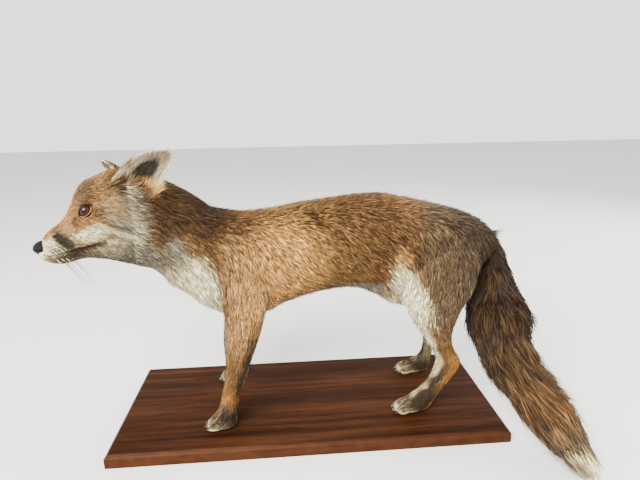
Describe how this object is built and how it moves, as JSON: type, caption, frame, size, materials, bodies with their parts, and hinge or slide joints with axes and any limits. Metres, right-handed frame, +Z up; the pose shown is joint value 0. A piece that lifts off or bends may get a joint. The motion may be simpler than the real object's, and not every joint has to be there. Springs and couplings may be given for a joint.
{
  "type": "taxidermy red fox on a wooden board",
  "caption": "Life-size mounted red fox standing on a stained wooden board, head turned to its left, brush hanging past the end of the board.",
  "frame": {"origin": "centre of the board's underside", "axes": "+Z up; X along the board, the fox facing -X; its left side is -Y"},
  "size_m": [0.6921, 0.3067, 0.4059],
  "materials": {
    "fox_coat": "short and long fox fur, brown and grizzled above, cream below",
    "nose_leather": "black, slightly glossy, finely pebbled",
    "eye_glass": "glass taxidermy eye, red-brown with a dark pupil",
    "claw_horn": "dark brown horn, satin",
    "stained_wood": "dark red-brown stained wood, satin, grain along the board"
  },
  "bodies": {
    "root": {"board": "stained_wood", "head": "fox_coat", "lower_jaw": "fox_coat", "neck": "fox_coat", "trunk": "fox_coat", "ear_left": "fox_coat", "ear_right": "fox_coat", "nose": "nose_leather", "eye_left": "eye_glass", "eye_right": "eye_glass", "foreleg_left_upper": "fox_coat", "foreleg_left_lower": "fox_coat", "foreleg_left_paw": "fox_coat", "foreleg_left_claw_1": "claw_horn", "foreleg_left_claw_2": "claw_horn", "foreleg_left_claw_3": "claw_horn", "foreleg_left_claw_4": "claw_horn", "foreleg_right_upper": "fox_coat", "foreleg_right_lower": "fox_coat", "foreleg_right_paw": "fox_coat", "foreleg_right_claw_1": "claw_horn", "foreleg_right_claw_2": "claw_horn", "foreleg_right_claw_3": "claw_horn", "foreleg_right_claw_4": "claw_horn", "hindleg_left_thigh": "fox_coat", "hindleg_left_shank": "fox_coat", "hindleg_left_paw": "fox_coat", "hindleg_left_claw_1": "claw_horn", "hindleg_left_claw_2": "claw_horn", "hindleg_left_claw_3": "claw_horn", "hindleg_left_claw_4": "claw_horn", "hindleg_right_thigh": "fox_coat", "hindleg_right_shank": "fox_coat", "hindleg_right_paw": "fox_coat", "hindleg_right_claw_1": "claw_horn", "hindleg_right_claw_2": "claw_horn", "hindleg_right_claw_3": "claw_horn", "hindleg_right_claw_4": "claw_horn", "tail_root": "fox_coat", "tail_middle": "fox_coat", "tail_tip": "fox_coat"}
  },
  "joints": []
}
